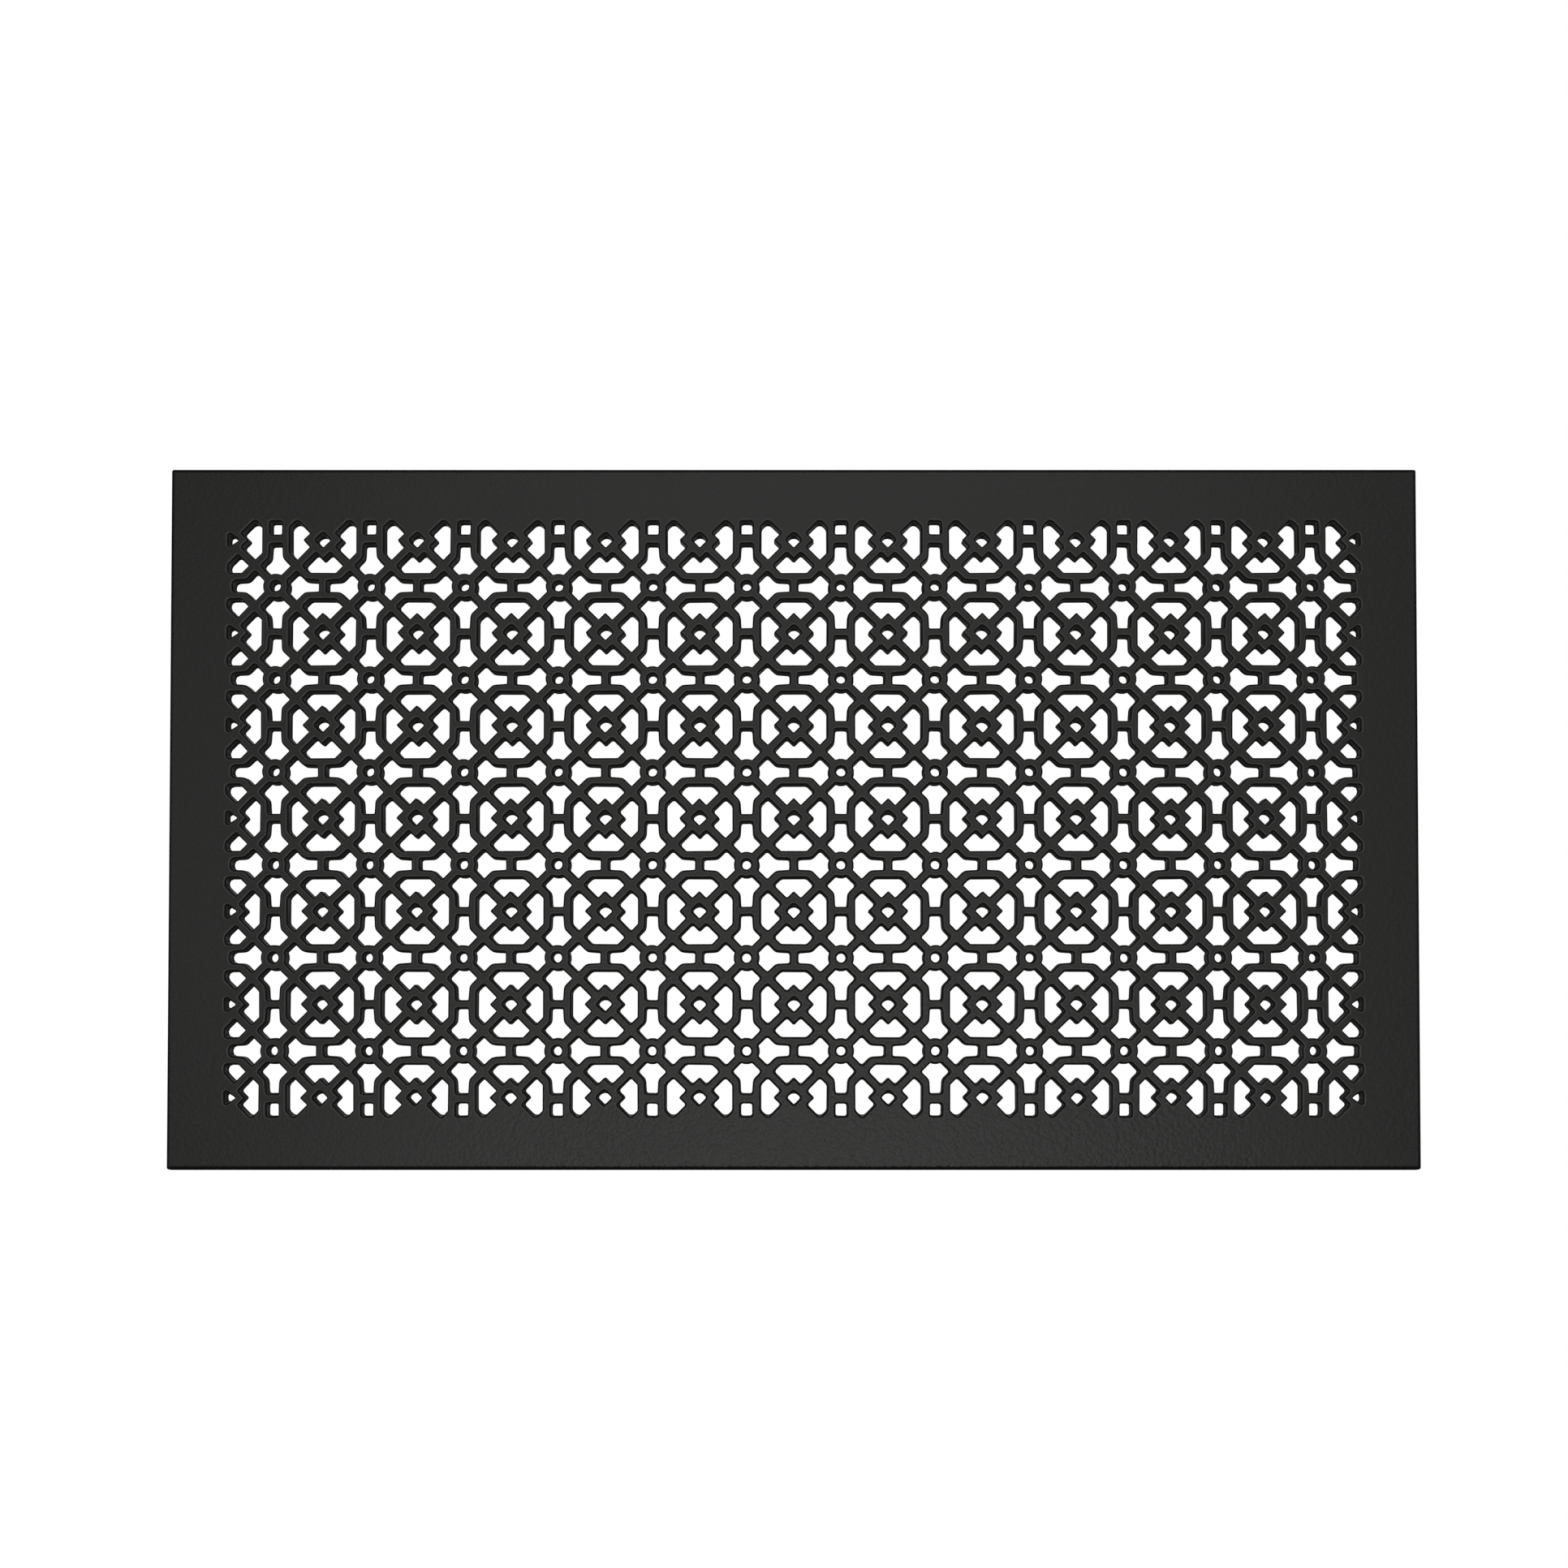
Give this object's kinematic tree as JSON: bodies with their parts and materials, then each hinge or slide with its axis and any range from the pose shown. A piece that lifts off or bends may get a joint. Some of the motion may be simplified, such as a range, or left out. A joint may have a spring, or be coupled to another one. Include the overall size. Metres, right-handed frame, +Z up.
{
  "type": "return air grille",
  "caption": "Flat rectangular cast iron return air grille with a plain border round a pierced lattice of octagon rings, diagonal bars and round and square bosses.",
  "frame": {"origin": "middle of the top border's back face, where the casting bears on the wall and is held", "axes": "+X across the grille, +Z up, +Y out of the back into the wall; the front looks along -Y"},
  "size_m": [0.8128, 0.0079, 0.4571],
  "materials": {
    "black_iron": "satin black powder coat over sand-cast iron, with fine grain"
  },
  "bodies": {
    "root": {"grille_casting": "black_iron"}
  },
  "joints": []
}
